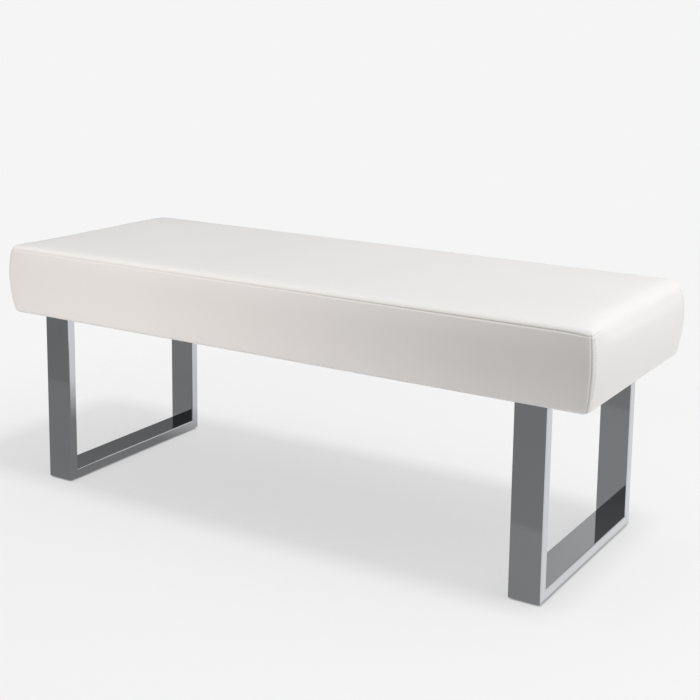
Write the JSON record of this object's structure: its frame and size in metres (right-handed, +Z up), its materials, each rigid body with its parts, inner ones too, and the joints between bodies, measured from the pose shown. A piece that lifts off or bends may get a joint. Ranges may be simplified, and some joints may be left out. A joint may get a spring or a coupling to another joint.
{
  "type": "upholstered bench",
  "caption": "Backless upholstered bench: a boxed leatherette cushion over a timber base, on U-shaped sled legs of flat chromed tube.",
  "frame": {"origin": "on the floor under the middle of the bench", "axes": "+X along the seat, -Y to the front, +Z up"},
  "size_m": [1.2702, 0.4702, 0.487],
  "materials": {
    "leatherette": "off-white grained faux leather, semi-matt",
    "foam": "open-cell upholstery foam",
    "softwood": "planed pine",
    "plywood": "birch plywood",
    "chromed_tube": "polished chrome plate",
    "zinc_steel": "zinc-plated steel",
    "glide_plastic": "moulded polyethylene, black",
    "dust_cloth": "black spun-bonded cloth"
  },
  "bodies": {
    "root": {"centre_rail": "softwood", "corner_blocks": "softwood", "cover_front": "leatherette", "cover_left": "leatherette", "cover_rear": "leatherette", "cover_right": "leatherette", "cover_top": "leatherette", "deck_panel": "plywood", "deck_screws": "zinc_steel", "dust_cover": "dust_cloth", "front_foam_strip": "foam", "front_rail": "softwood", "hem_staples": "zinc_steel", "left_bolt_washers": "zinc_steel", "left_end_rail": "softwood", "left_floor_rail": "chromed_tube", "left_foam_strip": "foam", "left_front_glide": "glide_plastic", "left_front_upright": "chromed_tube", "left_leg_bolts": "zinc_steel", "left_leg_cleat": "plywood", "left_mounting_bar": "chromed_tube", "left_rear_glide": "glide_plastic", "left_rear_upright": "chromed_tube", "left_tee_nuts": "zinc_steel", "rail_screws": "zinc_steel", "rear_foam_strip": "foam", "rear_rail": "softwood", "right_bolt_washers": "zinc_steel", "right_end_rail": "softwood", "right_floor_rail": "chromed_tube", "right_foam_strip": "foam", "right_front_glide": "glide_plastic", "right_front_upright": "chromed_tube", "right_leg_bolts": "zinc_steel", "right_leg_cleat": "plywood", "right_mounting_bar": "chromed_tube", "right_rear_glide": "glide_plastic", "right_rear_upright": "chromed_tube", "right_tee_nuts": "zinc_steel", "seat_foam": "foam"}
  },
  "joints": []
}
